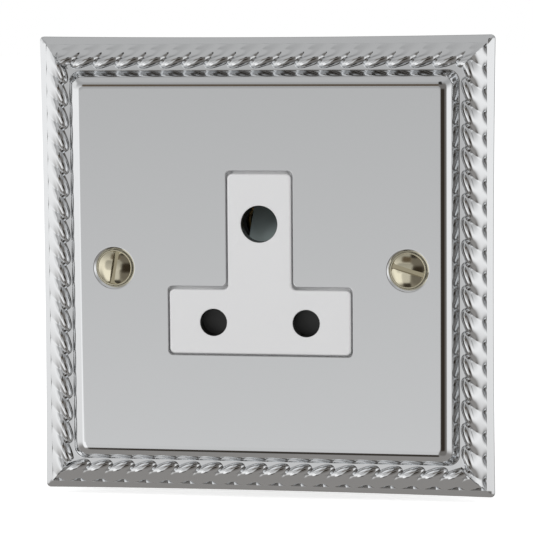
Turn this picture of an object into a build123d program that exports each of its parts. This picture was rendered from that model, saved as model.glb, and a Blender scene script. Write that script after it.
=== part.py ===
from build123d import *
import math
import os

# Round-pin wall socket on a square rope-edged plate.
# Each piece is modelled lying on its back: X right, Y up the wall, Z out of the wall, wall at Z = 0.
# stand_up() turns it to its place on the wall: front towards -Y, body behind the wall towards +Y.

# Face plate, a pressed sheet
plate_side = 94.0
edge_bow = 0.35              # pull-in of an outer edge at its middle
plate_corner_r = 0.9
sheet = 1.2
lip_width = 1.5
lip_height = 1.35
lip_edge = 0.3               # height of the outer edge; the lip slopes up from it
lip_edge_r = 0.2
rope_seat = 0.1              # ledge between the lip and the rope
rope_rise = 2.0              # groove above the lip
rope_r = 1.55
rope_slope = 52.0            # outer side of the rope, from the wall
groove_width = 0.5
groove_corner_r = 2.2
groove_fillet_r = 0.7
shoulder_run = 2.0
shoulder_rise = 4.3
panel_corner_r = 1.8
panel_edge_r = 1.75

# Rope border
strands_per_side = 18
strand_lean = 45.0           # from the edge, turned towards the outside
strand_crease = 0.9          # depth of the crease between two strands
strand_drop = 0.1            # crest of a strand below the crown of the round bead
slope_crease = 0.5           # depth of the crease on the outer slope
crease_fill = 0.08           # sheet standing in the bottom of that crease
strand_shift = (0.3, 1.5, -0.75, -1.75)   # along the edge, clockwise from the top edge

# Pins of the plug
pin_r = 2.54
earth_pin_r = 3.53
pin_spacing = 19.05          # line to neutral
earth_slant = 22.225         # earth to line and earth to neutral
pins_below_middle = 10.9     # line and neutral below the middle of the plate
pin_hole_play = 0.21
earth_hole_play = 0.19

# White T-shaped boss
insert_proud = 0.4
stem_width = 13.0
base_width = 37.2
insert_height = 36.6
base_height = 13.1
insert_below_pins = 6.4
insert_corner_r = 1.0
insert_edge_r = 0.4
insert_side_gap = 0.35       # boss to the plate's cut-out, left, right and below
insert_top_gap = 0.65
pin_hole_chamfer = 0.2

# Socket body behind the plate
body_side = 48.0
body_corner_r = 2.5
body_wall = 1.8
body_depth = 17.0            # behind the wall
flange = 1.6
deck = 4.2                   # front floor of the rear moulding
tower_wall = 1.2
ear_r = 4.0
ear_reach = 4.6              # ear centre beyond the body's side

# Shutter and its slide
slide_gap = 0.2
shutter_thick = 2.6
ramp_width = 5.5
ramp_thick = 2.0
ramp_angle = 45.0
ramp_clear = 0.4             # ramp to the earth contact behind it
ramp_cover = 3.1             # ramp's top edge above the earth pin's axis
open_margin = 0.25           # shutter's top edge below the earth pin when open
blade_reach = 13.4
blade_overlap = 0.45
blade_corner_r = 0.8
guide_width = 1.2
guide_height = 12.0
spring_web = 2.0             # blade left above the spring's notch
spring_wire = 0.4
spring_turns = 7
notch_play = 0.4
retainer_thick = 1.4
retainer_play = 0.2
foot_r = 1.5
foot_x = 12.0
foot_y = 14.0

# Contacts, clips and terminals
contact_gap = 0.06
contact_sheet = 0.7
tab_thick = 0.8
tab_width = 5.6
flange_lap = 1.1             # contact flange beyond its sleeve
sleeve_length = 8.6
earth_sleeve_length = 9.4
slit = 0.8
slit_root = 2.0
clip_sheet = 0.5
clip_height = 2.0
clip_gap = 2.2
clip_from_end = 1.2
well_play = 0.3
terminal_width = 6.0
terminal_deep = 5.2
terminal_high = 9.0
terminal_edge_r = 0.5
terminal_in = 5.1            # terminal's middle in from the body's side
earth_terminal_in = 4.8
pocket_gap = 0.2
wire_r = 2.0
wire_way = 0.7               # wire opening in the moulding, wider than the terminal's hole

# Small fasteners
fit_gap = 0.05
rivet_r = 1.0
rivet_head_r = 1.7
rivet_head = 0.5
rivet_bite = 2.0
terminal_screw_r = 1.75
terminal_head_r = 2.6
terminal_head = 1.6
terminal_head_gap = 0.8
terminal_screw_back = 0.4    # screw tip short of the wire hole
driver_slot = 0.8
driver_slot_deep = 0.8
access_play = 0.4
base_screw_in = 4.6          # screw's axis in from the body's sides
base_screw_r = 1.4
base_screw_head_r = 2.5
base_screw_head = 1.8
base_screw_bite = 4.0
base_column = 8.0
column_wall = 1.4
stud_r = 1.5
stud_length = 6.4
ear_hole_play = 0.15
washer_r = 3.4
washer_thick = 0.5
nut_flats = 5.5
nut_high = 2.4
strap_thick = 0.6
strap_width = 5.0
strap_stand_off = 0.3
strap_lap = 2.4              # strap beyond the rivet's axis

# Fixing screws
fixing_spacing = 60.3
fixing_r = 1.75
fixing_neck_r = 1.55
fixing_neck = 5.2            # plain neck under the head, from the head's rim
fixing_hole_play = 0.2
fixing_length = 25.0
fixing_point = 0.6
fixing_head_r = 3.7
fixing_dome = 0.9
fixing_slot = 1.0
fixing_slot_deep = 1.0
fixing_slot_turn = (80.0, -17.0)   # slots of the left and right screw, from X
dimple_r = 4.3
dimple_skin = 0.5            # pressed cone wider behind the sheet
dimple_sheet = 0.6           # sheet left under the cone's small end

# Levels and places that follow
half = plate_side / 2
groove_z = lip_height + rope_rise
panel_z = groove_z + shoulder_rise
panel_back = panel_z - sheet
slope_sin = math.sin(math.radians(rope_slope))
slope_cos = math.cos(math.radians(rope_slope))
rope_foot = lip_width + rope_seat
bend_z = groove_z + rope_r * slope_cos
bend_in = rope_foot + (bend_z - lip_height) * slope_cos / slope_sin
rope_in = bend_in + rope_r * slope_sin
groove_in = rope_in + rope_r + groove_width
panel_in = groove_in + shoulder_run
face_z = panel_z + insert_proud
floor_z = panel_back - flange
pins_y = -pins_below_middle
pin_x = pin_spacing / 2
earth_y = pins_y + math.sqrt(earth_slant**2 - pin_x**2)
pin_hole_r = pin_r + pin_hole_play
earth_hole_r = earth_pin_r + earth_hole_play
insert_bottom = pins_y - insert_below_pins
insert_top = insert_bottom + insert_height
base_top = insert_bottom + base_height
body_half = body_side / 2
body_inner = body_half - body_wall
ear_y = body_half + ear_reach
terminal_x = body_half - terminal_in
earth_terminal_y = body_half - earth_terminal_in
base_screw_at = body_half - base_screw_in
shutter_front = floor_z - slide_gap
shutter_back = shutter_front - shutter_thick
retainer_front = shutter_back - slide_gap
retainer_back = retainer_front - retainer_thick
shutter_travel = ramp_cover + earth_pin_r + open_margin
blade_top = pins_y + pin_hole_r + blade_overlap
blade_bottom = pins_y - pin_hole_r - blade_overlap
notch_top = blade_top - spring_web
spring_r = shutter_thick / 2
sleeve_r = pin_r + contact_gap
earth_sleeve_r = earth_pin_r + contact_gap
deck_z = retainer_back - tab_thick
ramp_pitch = math.tan(math.radians(ramp_angle))
ramp_foot = ramp_thick / math.sin(math.radians(ramp_angle))
ramp_top = earth_y + ramp_cover
ramp_low = ramp_top - shutter_travel
ramp_deep = shutter_front - shutter_travel * ramp_pitch
earth_tab_front = ramp_deep - ramp_clear
earth_tab_back = earth_tab_front - tab_thick
pin_holes = ((-pin_x, pins_y, pin_hole_r), (pin_x, pins_y, pin_hole_r), (0, earth_y, earth_hole_r))
column_r = base_screw_r + pocket_gap + column_wall
fixing_x = fixing_spacing / 2
head_drop = dimple_r - fixing_head_r
head_rim = panel_z - head_drop + fit_gap
dimple_deep = dimple_r - fixing_r - fixing_hole_play
dimple_end = panel_z - dimple_deep - dimple_sheet


def stand_up(piece):
    return piece.moved(Plane.XZ.location)


def rod(radius, low, high, x=0.0, y=0.0):
    return extrude(Pos(x, y, low) * Circle(radius), amount=high - low)


def block(width, height, low, high, x=0.0, y=0.0):
    return extrude(Pos(x, y, low) * Rectangle(width, height), amount=high - low)


def rounded_block(side, radius, low, high):
    return extrude(Pos(0, 0, low) * RectangleRounded(side, side, radius), amount=high - low)


def cone(low_r, high_r, low, high, x=0.0, y=0.0):
    outline = Polyline((0, low), (low_r, low), (high_r, high), (0, high), close=True)
    return Pos(x, y, 0) * revolve(Plane.XZ * make_face(outline), Axis.Z)


# Face plate

mitre = extrude(make_face(Polyline((0, 0), (half + 1, half + 1), (-half - 1, half + 1), close=True)),
                amount=2 * panel_z, both=True)
edge_section = Plane(origin=(0, half, 0), x_dir=(0, -1, 0), z_dir=(-1, 0, 0))


def edge_run(section):
    """One mitred edge of the plate; the section's x runs in from the outer edge, its y up from the wall."""
    return extrude(edge_section * section, amount=half + 1, both=True) & mitre


def four_edges(section):
    run = edge_run(section)
    return sum((Rot(0, 0, -90 * k) * run for k in range(1, 4)), run)


def slope_in(depth, z):
    """Inset of a line parallel to the rope's outer slope and below it by depth, at height z."""
    return rope_foot + depth / slope_sin + (z - lip_height) * slope_cos / slope_sin


def border():
    """Lip, the slope under the strands and the floor of the groove, filled in to the middle."""
    corners = [(-half, half), (half, half), (half, -half), (-half, -half)]
    bowed = half - edge_bow
    middles = [(0, bowed), (bowed, 0), (0, -bowed), (-bowed, 0)]
    edges = [ThreePointArc(corners[k], middles[k], corners[(k + 1) % 4]) for k in range(4)]
    outline = make_face(edges)
    outline = fillet(outline.vertices(), plate_corner_r)
    depth = slope_crease - crease_fill
    section = Polyline((0, 0), (0, lip_edge), (lip_width, lip_height), (slope_in(depth, lip_height), lip_height),
                       (slope_in(depth, groove_z), groove_z), (half, groove_z), (half, 0), close=True)
    slab = extrude(outline, amount=groove_z) & four_edges(make_face(section))
    rim = slab.edges().filter_by(lambda e: lip_edge - 0.01 < e.center().Z < lip_height - 0.01
                                 and max(abs(e.center().X), abs(e.center().Y)) > half - 2 * edge_bow)
    return fillet(rim, lip_edge_r)


def hollow_back():
    """Hollow behind the rope and the groove, one sheet below them."""
    top = groove_z - sheet
    depth = slope_crease - crease_fill + sheet
    section = Polyline((slope_in(depth, 0), 0), (slope_in(depth, top), top), (half, top), (half, 0), close=True)
    return four_edges(make_face(section))


def tray(skin, low, high):
    """Raised panel with sloping sides, its surface set in by skin."""
    slope = shoulder_run / shoulder_rise
    inset = skin * math.hypot(1, slope)

    def level(z):
        along = (z - groove_z) / shoulder_rise
        side = plate_side - 2 * (groove_in + slope * (z - groove_z) + inset)
        radius = groove_corner_r + (panel_corner_r - groove_corner_r) * along
        return Pos(0, 0, z) * RectangleRounded(side, side, radius)

    return loft([level(low), level(high)], ruled=True)


def strand_row(spacing, crest, crease, foot):
    """Section across a row of round strands."""
    count = strands_per_side // 2 + 3
    ridges = [ThreePointArc(((k - 0.5) * spacing, crease), (k * spacing, crest), ((k + 0.5) * spacing, crease))
              for k in range(-count, count + 1)]
    end = (count + 0.5) * spacing
    return make_face(ridges + [Polyline((end, crease), (end, foot), (-end, foot), (-end, crease))])


def rope(shift):
    """Strands along the top edge: leaning round ridges over a bead and down its outer slope to the lip."""
    pitch = (plate_side - 2 * rope_in) / strands_per_side
    lean = math.radians(strand_lean)
    crest = groove_z + rope_r - strand_drop
    over = Plane(origin=(shift, half - rope_in, 0), x_dir=(math.sin(lean), -math.cos(lean), 0),
                 z_dir=(-math.cos(lean), -math.sin(lean), 0))
    row = strand_row(pitch * math.sin(lean), crest, crest - strand_crease, groove_z)
    bead = make_face(ThreePointArc((rope_in + rope_r, groove_z), (rope_in, groove_z + rope_r), (bend_in, bend_z))
                     + Polyline((bend_in, bend_z), (bend_in, groove_z), (rope_in + rope_r, groove_z)))
    top = edge_run(bead) & extrude(over * row, amount=half, both=True)
    down = Plane(origin=(shift + (rope_in - bend_in) / math.tan(lean), half - bend_in, bend_z), x_dir=(1, 0, 0),
                 z_dir=(0, -slope_cos, slope_sin))
    row = strand_row(pitch, 0, -slope_crease, lip_height - bend_z)
    side = make_face(Polyline((rope_foot, lip_height), (bend_in, bend_z), (bend_in, lip_height), close=True))
    way = Vector(slope_cos / math.tan(lean), slope_cos, -slope_sin)
    return top + (edge_run(side) & extrude(down * row, amount=2 * bend_in, dir=way, both=True))


def tee(side_gap, top_gap, bottom_gap):
    stem = stem_width / 2 + side_gap
    base = base_width / 2 + side_gap
    top = insert_top + top_gap
    shoulder = base_top + top_gap
    bottom = insert_bottom - bottom_gap
    outline = Polyline((-base, bottom), (base, bottom), (base, shoulder), (stem, shoulder), (stem, top),
                       (-stem, top), (-stem, shoulder), (-base, shoulder), close=True)
    return fillet(make_face(outline).vertices(), insert_corner_r)


def face_plate():
    panel = tray(0, groove_z, panel_z)
    panel = fillet(panel.faces().sort_by(Axis.Z)[-1].edges(), panel_edge_r)
    plate = border() + panel
    foot = plate.edges().filter_by(lambda e: abs(e.center().Z - groove_z) < 0.01
                                   and max(abs(e.center().X), abs(e.center().Y)) < half - groove_in + 0.01
                                   and max(abs(e.center().X), abs(e.center().Y)) > half - panel_in)
    plate = fillet(foot, groove_fillet_r)
    plate -= hollow_back()
    plate -= tray(sheet, groove_z - sheet, panel_back)
    for x in (-fixing_x, fixing_x):
        bump_r = fixing_r + fixing_hole_play + dimple_skin
        plate += cone(bump_r, bump_r + panel_back - dimple_end, dimple_end, panel_back, x)
        plate -= cone(fixing_r + fixing_hole_play, dimple_r, panel_z - dimple_deep, panel_z, x)
        plate -= rod(fixing_r + fixing_hole_play, 0, panel_z, x)
    plate -= extrude(tee(insert_side_gap, insert_top_gap, insert_side_gap), amount=2 * panel_z)
    for k, shift in enumerate(strand_shift):
        plate += Rot(0, 0, -90 * k) * rope(shift)
    return plate


# Mouldings

def corner_places():
    return [(x, y) for x in (-base_screw_at, base_screw_at) for y in (-base_screw_at, base_screw_at)]


def ramp_back_y(z):
    """Rear of the sloping ramp at a level, shutter closed."""
    return ramp_top - ramp_foot - (z - ramp_deep) / ramp_pitch


def ramp_way(level):
    """Low and high end of the way that the ramp sweeps through a level."""
    return ramp_back_y(level) - shutter_travel - slide_gap, ramp_top + slide_gap


def socket_front():
    body = rounded_block(body_side, body_corner_r, deck_z, panel_back)
    body -= rounded_block(2 * body_inner, body_corner_r - body_wall, deck_z, floor_z)
    boss = extrude(Pos(0, 0, floor_z) * tee(0, 0, 0), amount=face_z - floor_z)
    body += fillet(boss.faces().sort_by(Axis.Z)[-1].edges(), insert_edge_r)
    for side in (-1, 1):
        body += block(2 * ear_r, ear_reach, floor_z, panel_back, 0, side * (body_half + ear_reach / 2))
        body += rod(ear_r, floor_z, panel_back, 0, side * ear_y)
        body -= rod(stud_r + ear_hole_play, floor_z, panel_back, 0, side * ear_y)
        guide_x = side * (ramp_width / 2 + slide_gap + guide_width / 2)
        guide_y = blade_top + slide_gap + guide_height / 2
        body += block(guide_width, guide_height, retainer_front, floor_z, guide_x, guide_y)
    for x, y in corner_places():
        body += rod(column_r, deck_z, floor_z, x, y)
        body -= rod(base_screw_r + fit_gap, deck_z, deck_z + base_screw_bite + fit_gap, x, y)
    for x, y, radius in pin_holes:
        body -= rod(radius, floor_z, face_z, x, y)
        body -= cone(radius, radius + pin_hole_chamfer, face_z - pin_hole_chamfer, face_z, x, y)
    return body


def shutter():
    section = Polyline((notch_top, shutter_front), (ramp_low, shutter_front), (ramp_top, ramp_deep),
                       (ramp_top - ramp_foot, ramp_deep), (ramp_back_y(shutter_back), shutter_back),
                       (notch_top, shutter_back), close=True)
    stem = extrude(Plane.YZ * make_face(section), amount=ramp_width / 2, both=True)
    blade_high = blade_top - blade_bottom
    blades = block(2 * blade_reach, blade_high, shutter_back, shutter_front, 0, blade_top - blade_high / 2)
    blades = fillet(blades.edges().filter_by(Axis.Z), blade_corner_r)
    notch_high = notch_top - blade_bottom
    notch = block(2 * (spring_r + notch_play), notch_high, shutter_back, shutter_front, 0,
                  notch_top - notch_high / 2)
    return blades - notch + stem


def shutter_spring():
    length = notch_top + body_inner
    coil_r = spring_r - spring_wire / 2
    rise = length - spring_wire
    path = Helix(pitch=rise / spring_turns, height=rise, radius=coil_r)
    wire = Plane(origin=path @ 0, z_dir=path % 0) * RegularPolygon(spring_wire / 2, 4)
    coil = sweep(wire, path=path)
    middle_z = (shutter_front + shutter_back) / 2
    return Pos(0, -body_inner + spring_wire / 2, middle_z) * Rot(-90, 0, 0) * coil


def shutter_retainer():
    side = 2 * (body_inner - retainer_play)
    plate = block(side, side, retainer_back, retainer_front)
    notch = 2 * (column_r + retainer_play)
    for x, y in corner_places():
        plate -= block(notch, notch, retainer_back, retainer_front, x, y)
    for x in (-foot_x, foot_x):
        plate += rod(foot_r, deck_z, retainer_back, x, foot_y)
    for x in (-pin_x, pin_x):
        plate -= rod(sleeve_r + slide_gap, retainer_back, retainer_front, x, pins_y)
    for x in (-terminal_x, terminal_x):
        plate -= rod(rivet_head_r + slide_gap, retainer_back, retainer_front, x, pins_y)
    low, high = ramp_way(retainer_front)
    plate -= block(ramp_width + 2 * slide_gap, high - low, retainer_back, retainer_front, 0, (low + high) / 2)
    plate -= rod(earth_hole_r, retainer_back, retainer_front, 0, earth_y)
    return plate


def wire_hole(radius, start, end, x, y, z, turn):
    """Round hole along the way the wire leaves, from start to end on that way."""
    hole = Pos((start + end) / 2, 0, 0) * Rot(0, 90, 0) * Cylinder(radius, end - start)
    return Pos(x, y, z) * Rot(0, 0, turn) * hole


def socket_base():
    body = rounded_block(body_side, body_corner_r, -body_depth, deck_z)
    body -= rounded_block(2 * body_inner, body_corner_r - body_wall, -body_depth, deck_z - deck)
    for contact in contacts:
        body += rod(contact.well_r + tower_wall, contact.well_floor - tower_wall, deck_z, contact.x, contact.y)
    for contact in contacts:
        box_floor = contact.terminal_back - pocket_gap - tower_wall
        body += block(terminal_width + 2 * (pocket_gap + tower_wall),
                      terminal_deep + 2 * (pocket_gap + tower_wall), box_floor, deck_z, contact.tx, contact.ty)
    for x, y in corner_places():
        body += rod(column_r, deck_z - base_column, deck_z, x, y)
        body -= rod(base_screw_r + pocket_gap, deck_z - base_column, deck_z, x, y)
    for contact in contacts:
        body -= rod(contact.well_r, contact.well_floor, deck_z, contact.x, contact.y)
        body -= block(terminal_width + 2 * pocket_gap, terminal_deep + 2 * pocket_gap,
                      contact.terminal_back - pocket_gap, deck_z, contact.tx, contact.ty)
        body -= rod(terminal_head_r + access_play, -body_depth, contact.terminal_back, contact.tx, contact.ty)
        way_out = body_half - max(abs(contact.tx), abs(contact.ty))
        body -= wire_hole(wire_r + wire_way, 0, way_out, contact.tx, contact.ty, contact.wire_z, contact.turn)
    low, high = ramp_way(deck_z)
    body -= block(ramp_width + 2 * slide_gap, high - low, ramp_deep - slide_gap, deck_z, 0, (low + high) / 2)
    body -= rod(earth_sleeve_r + contact_sheet + flange_lap + pocket_gap, earth_tab_back, deck_z, 0, earth_y)
    channel = body_half - earth_y
    body -= block(tab_width + 2 * pocket_gap, channel, earth_tab_back, deck_z, 0, earth_y + channel / 2)
    return body


# Contacts and terminals

class Contact:
    """Places and levels of one contact, its terminal and their fasteners."""

    def __init__(self, x, y, radius, length, tab_front, tx, ty, turn, stack):
        self.x, self.y, self.radius, self.length = x, y, radius, length
        self.tab_front = tab_front
        self.tab_back = tab_front - tab_thick
        self.tx, self.ty, self.turn = tx, ty, turn
        self.rivet_seat = tab_front + stack
        self.end = self.tab_back - length
        self.clip_r = radius + contact_sheet + fit_gap
        self.well_r = self.clip_r + clip_sheet + well_play
        self.well_floor = self.end - well_play
        self.wire_z = self.tab_back - terminal_high / 2
        self.terminal_back = self.tab_back - terminal_high

    def sleeve(self):
        outer_r = self.radius + contact_sheet
        reach = math.hypot(self.tx - self.x, self.ty - self.y)
        tab = reach + strap_lap
        body = rod(outer_r + flange_lap, self.tab_back, self.tab_front)
        body += block(tab, tab_width, self.tab_back, self.tab_front, tab / 2)
        body += rod(outer_r, self.end, self.tab_back)
        body -= rod(self.radius, self.end, self.tab_front)
        for long, wide in ((3 * outer_r, slit), (slit, 3 * outer_r)):
            body -= block(long, wide, self.end, self.tab_back - slit_root)
        body -= rod(rivet_r + fit_gap, self.tab_back, self.tab_front, reach)
        return Pos(self.x, self.y, 0) * Rot(0, 0, self.turn) * body

    def clip(self):
        low = self.end + clip_from_end
        ring = rod(self.clip_r + clip_sheet, low, low + clip_height)
        ring -= rod(self.clip_r, low, low + clip_height)
        ring -= block(2 * self.clip_r, clip_gap, low, low + clip_height, -self.clip_r)
        return Pos(self.x, self.y, 0) * Rot(0, 0, self.turn) * ring

    def terminal(self):
        body = block(terminal_width, terminal_deep, self.terminal_back, self.tab_back, self.tx, self.ty)
        body = fillet(body.edges().filter_by(Axis.Z), terminal_edge_r)
        body -= wire_hole(wire_r, -terminal_width, terminal_width, self.tx, self.ty, self.wire_z, self.turn)
        body -= rod(terminal_screw_r + fit_gap, self.terminal_back, self.wire_z, self.tx, self.ty)
        return body - rod(rivet_r + fit_gap, self.tab_back - rivet_bite - fit_gap, self.tab_back, self.tx, self.ty)

    def rivet(self):
        shank = rod(rivet_r, self.tab_back - rivet_bite, self.rivet_seat, self.tx, self.ty)
        return shank + cone(rivet_head_r, rivet_r, self.rivet_seat, self.rivet_seat + rivet_head, self.tx, self.ty)

    def terminal_screw(self):
        under_head = self.terminal_back - terminal_head_gap
        tip = self.wire_z - wire_r - terminal_screw_back
        return slotted_screw(terminal_screw_r, tip, under_head, terminal_head_r, terminal_head, self.tx, self.ty)


def slotted_screw(radius, tip, under_head, head_r, head, x, y):
    """Cheese-head screw entered from behind, with its head towards the wall box."""
    end = under_head - head
    screw = rod(radius, under_head, tip, x, y) + rod(head_r, end, under_head, x, y)
    return screw - block(3 * head_r, driver_slot, end, end + driver_slot_deep, x, y)


# Fasteners of the plate

def plate_studs():
    return group(rod(stud_r, panel_back - stud_length, panel_back, 0, side * ear_y) for side in (-1, 1))


def stud_stack(side):
    """Level under the washer: the upper stud holds the earth strap as well."""
    return floor_z - strap_thick if side > 0 else floor_z


def washer(side):
    top = stud_stack(side)
    ring = rod(washer_r, top - washer_thick, top, 0, side * ear_y)
    return ring - rod(stud_r + fit_gap, top - washer_thick, top, 0, side * ear_y)


def nut(side):
    top = stud_stack(side) - washer_thick
    flats = RegularPolygon(nut_flats / 2, 6, major_radius=False)
    body = extrude(Pos(0, side * ear_y, top - nut_high) * flats, amount=nut_high)
    return body - rod(stud_r + fit_gap, top - nut_high, top, 0, side * ear_y)


def earth_strap():
    outer_end = ear_y + washer_r
    inner_end = earth_terminal_y - strap_lap
    near = body_half + strap_stand_off
    far = near + strap_thick
    low = earth_tab_front
    section = Polyline((outer_end, floor_z), (near, floor_z), (near, low + strap_thick),
                       (inner_end, low + strap_thick), (inner_end, low), (far, low),
                       (far, floor_z - strap_thick), (outer_end, floor_z - strap_thick), close=True)
    strip = extrude(Plane.YZ * make_face(section), amount=strap_width / 2, both=True)
    strip -= rod(stud_r + fit_gap, floor_z - strap_thick, floor_z, 0, ear_y)
    return strip - rod(rivet_r + fit_gap, low, low + strap_thick, 0, earth_terminal_y)


def fixing_screw(x, turn):
    dome_r = (fixing_head_r**2 + fixing_dome**2) / (2 * fixing_dome)
    crown = head_rim + fixing_dome
    half_turn = math.asin(fixing_head_r / dome_r) / 2
    dome = ThreePointArc((fixing_head_r, head_rim),
                         (dome_r * math.sin(half_turn), crown - dome_r + dome_r * math.cos(half_turn)), (0, crown))
    tip = head_rim - fixing_length
    neck_end = head_rim - fixing_neck
    shank = Polyline((0, crown), (0, tip), (fixing_r - fixing_point, tip), (fixing_r, tip + fixing_point),
                     (fixing_r, neck_end), (fixing_neck_r, neck_end),
                     (fixing_neck_r, head_rim - fixing_head_r + fixing_neck_r), (fixing_head_r, head_rim))
    screw = revolve(Plane.XZ * make_face(dome + shank), Axis.Z)
    slot = Rot(0, 0, turn) * block(3 * fixing_head_r, fixing_slot, crown - fixing_slot_deep, crown + 1)
    return Pos(x, 0, 0) * (screw - slot)


def group(solids):
    return Compound(children=list(solids))


line = Contact(pin_x, pins_y, sleeve_r, sleeve_length, retainer_back, terminal_x, pins_y, 0, 0)
neutral = Contact(-pin_x, pins_y, sleeve_r, sleeve_length, retainer_back, -terminal_x, pins_y, 180, 0)
earth = Contact(0, earth_y, earth_sleeve_r, earth_sleeve_length, earth_tab_front, 0, earth_terminal_y, 90,
                strap_thick)
contacts = (line, neutral, earth)

pieces = {
    "face_plate": face_plate(),
    "socket_front": socket_front(),
    "shutter": shutter(),
    "shutter_spring": shutter_spring(),
    "shutter_retainer": shutter_retainer(),
    "line_contact": line.sleeve(),
    "neutral_contact": neutral.sleeve(),
    "earth_contact": earth.sleeve(),
    "pin_contact_clips": group([line.clip(), neutral.clip()]),
    "earth_contact_clip": earth.clip(),
    "line_terminal": line.terminal(),
    "neutral_terminal": neutral.terminal(),
    "earth_terminal": earth.terminal(),
    "contact_rivets": group(contact.rivet() for contact in contacts),
    "terminal_screws": group(contact.terminal_screw() for contact in contacts),
    "socket_base": socket_base(),
    "base_screws": group(slotted_screw(base_screw_r, deck_z + base_screw_bite, deck_z - base_column,
                                       base_screw_head_r, base_screw_head, x, y) for x, y in corner_places()),
    "plate_studs": plate_studs(),
    "stud_washers": group(washer(side) for side in (-1, 1)),
    "stud_nuts": group(nut(side) for side in (-1, 1)),
    "earth_strap": earth_strap(),
    "fixing_screws": group(fixing_screw(x, turn) for x, turn in zip((-fixing_x, fixing_x), fixing_slot_turn)),
}

os.makedirs("parts", exist_ok=True)
for name, piece in pieces.items():
    export_step(stand_up(piece), f"parts/{name}.step")
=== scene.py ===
"""Looks of a round pin wall socket: polished plate with rope border, white T-shaped face, inner works."""
import math

import bmesh
import bpy
from mathutils import Matrix, Vector


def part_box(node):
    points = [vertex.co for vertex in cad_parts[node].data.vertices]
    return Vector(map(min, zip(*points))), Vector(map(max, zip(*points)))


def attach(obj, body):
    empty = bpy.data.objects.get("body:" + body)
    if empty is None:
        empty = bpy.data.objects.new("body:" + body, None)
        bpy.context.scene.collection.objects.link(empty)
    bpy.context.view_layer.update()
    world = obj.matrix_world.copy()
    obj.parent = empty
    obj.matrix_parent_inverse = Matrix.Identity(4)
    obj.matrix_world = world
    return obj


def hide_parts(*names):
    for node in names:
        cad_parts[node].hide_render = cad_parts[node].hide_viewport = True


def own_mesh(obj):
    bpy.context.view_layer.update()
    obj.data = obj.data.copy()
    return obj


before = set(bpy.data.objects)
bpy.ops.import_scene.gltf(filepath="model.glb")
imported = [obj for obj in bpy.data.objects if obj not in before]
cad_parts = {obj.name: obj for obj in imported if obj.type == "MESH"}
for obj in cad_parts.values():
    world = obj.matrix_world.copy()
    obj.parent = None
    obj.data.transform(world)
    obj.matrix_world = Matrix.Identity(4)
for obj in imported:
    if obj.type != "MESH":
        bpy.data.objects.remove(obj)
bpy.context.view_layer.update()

# Plate and rope, in millimetres; rim, groove, shoulder and creases differ a little from the solids
MM = 0.001
HALF = 47.0
EDGE_BOW = 0.35
PLATE_CORNER_R = 0.9
SHEET = 1.2
LIP_WIDTH, LIP_EDGE, LIP_HEIGHT, LIP_EDGE_R = 1.6, 0.3, 1.35, 0.45
ROPE_RISE, ROPE_R, ROPE_SLOPE = 2.0, 1.55, math.radians(52.0)
GROOVE_WIDTH, GROOVE_CORNER_R, GROOVE_FILLET_R = 0.35, 2.2, 0.3
SHOULDER_RUN, SHOULDER_RISE = 1.55, 4.3
PANEL_CORNER_R, PANEL_EDGE_R = 2.4, 2.8
GROOVE_Z = LIP_HEIGHT + ROPE_RISE
PANEL_Z = GROOVE_Z + SHOULDER_RISE
PANEL_BACK = PANEL_Z - SHEET
ROPE_FALL = ROPE_RISE + ROPE_R * math.cos(ROPE_SLOPE)
ROPE_IN = LIP_WIDTH + ROPE_FALL / math.tan(ROPE_SLOPE) + ROPE_R * math.sin(ROPE_SLOPE)
GROOVE_IN = ROPE_IN + ROPE_R + GROOVE_WIDTH
PANEL_IN = GROOVE_IN + SHOULDER_RUN

# Strands; shifts and pits are given clockwise from the top side
STRANDS, STRAND_LEAN = 18, math.radians(45.0)
STRAND_CREASE, SLOPE_CREASE = 0.95, 0.15
STRAND_SHIFT = (0.3, 1.5, -2.3, -1.75)
PIT_CREASE = (0.0, 0.9, 0.9, 0.0)
PIT_DEPTH, PIT_FILL, PIT_BACK = 0.6, 0.05, 1.0
PIT_FLOOR = max(PIT_CREASE) - PIT_FILL

# T-shaped cut-out round the boss, and the dimples of the fixing screws
STEM_HALF, BASE_HALF = 6.5, 18.6
BOSS_BOTTOM, BOSS_SHOULDER, BOSS_TOP = -17.3, -4.2, 19.3
CUT_GAP, CUT_TOP_GAP, CUT_CORNER_R, CUT_EDGE_R = 0.35, 0.65, 1.0, 0.12
DIMPLE_R, DIMPLE_HOLE_R, DIMPLE_BUMP_R, DIMPLE_END, DIMPLE_EDGE_R = 4.3, 1.95, 2.45, 4.7, 0.25

# Flat strips beside rounded edges, which keep the shading of the edge narrow
CUT_MARGIN, DIMPLE_MARGIN, PANEL_MARGIN = 0.06, 0.08, 0.1

# Points nearer than this are merged
WELD = 0.002

# Fixing screws, whose solid shank is cut off just above the thread, and shutter spring
FIXING_X, FIXING_R = 30.15, 1.75
THREAD_TOP, THREAD_END, THREAD_PITCH, THREAD_R = 1.9, -17.55, 0.6, 0.3
SHANK_CUT = THREAD_TOP + 0.01
HEAD_RING_R, HEAD_RING_OUT, HEAD_RING_WIRE = 3.5, 7.17, 0.17
SPRING_R, SPRING_WIRE, SPRING_TURNS = 1.3, 0.2, 7

# Pin holes as X, Z and a radius just outside the wall, with shade painted inside them, and the retainer's
# part with painted shade
PIN_HOLES = ((-9.525, -10.9, 2.79), (9.525, -10.9, 2.79), (0.0, 9.18, 3.76))
RETAINER_HOLE = (0.0, 9.18, 6.0)

# Steps of the plate's rings; a side's end steps are short, so that a corner's shading stays there
SIDE_STEPS, CORNER_STEPS, END_STEP = 16, 8, 0.012
ALONG = [-1.0 + 2 * step / SIDE_STEPS for step in range(1, SIDE_STEPS)]
ALONG = [-1.0, -1.0 + END_STEP] + ALONG + [1.0 - END_STEP]


def at(x, up, out):
    """A point given to the right, up the wall and out of the wall, in the object's frame."""
    return Vector((x * MM, -out * MM, up * MM))


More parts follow.
